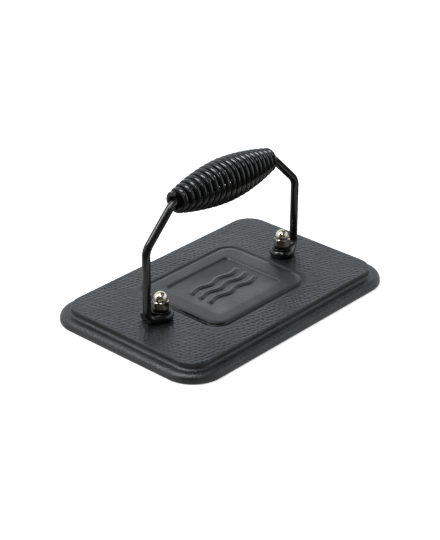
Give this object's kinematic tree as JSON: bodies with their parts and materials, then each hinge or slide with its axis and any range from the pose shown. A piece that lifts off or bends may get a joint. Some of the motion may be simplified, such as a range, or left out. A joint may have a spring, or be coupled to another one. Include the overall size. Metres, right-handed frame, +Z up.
{
  "type": "bacon press",
  "caption": "Rectangular cast-iron bacon press with a raised slab, a bent wire handle held by capped nuts, and a barrel-shaped coil grip that turns.",
  "frame": {"origin": "centre of the plate's flat underside", "axes": "+X along the plate's long side, +Z up towards the handle"},
  "size_m": [0.229, 0.154, 0.1184],
  "materials": {
    "cast_plate": "black, seasoned, semi-gloss, hammered texture on the slab",
    "handle_wire": "gloss black over steel wire",
    "grip_wire": "satin black over spring wire",
    "stud": "plain",
    "flat_washer": "dark plated",
    "lock_washer": "dark plated",
    "cap_nut": "bright nickel"
  },
  "bodies": {
    "press": {"press_plate": "cast_plate", "handle_rod": "handle_wire", "left_stud": "stud", "left_flat_washer": "flat_washer", "left_lock_washer": "lock_washer", "left_cap_nut": "cap_nut", "right_stud": "stud", "right_flat_washer": "flat_washer", "right_lock_washer": "lock_washer", "right_cap_nut": "cap_nut"},
    "grip": {"coil_grip": "grip_wire"}
  },
  "joints": [
    {"name": "grip_spin", "type": "hinge", "parent": "press", "child": "grip", "pos_m": [0, 0, 0.1015], "axis": [1, 0, 0], "continuous": true}
  ]
}
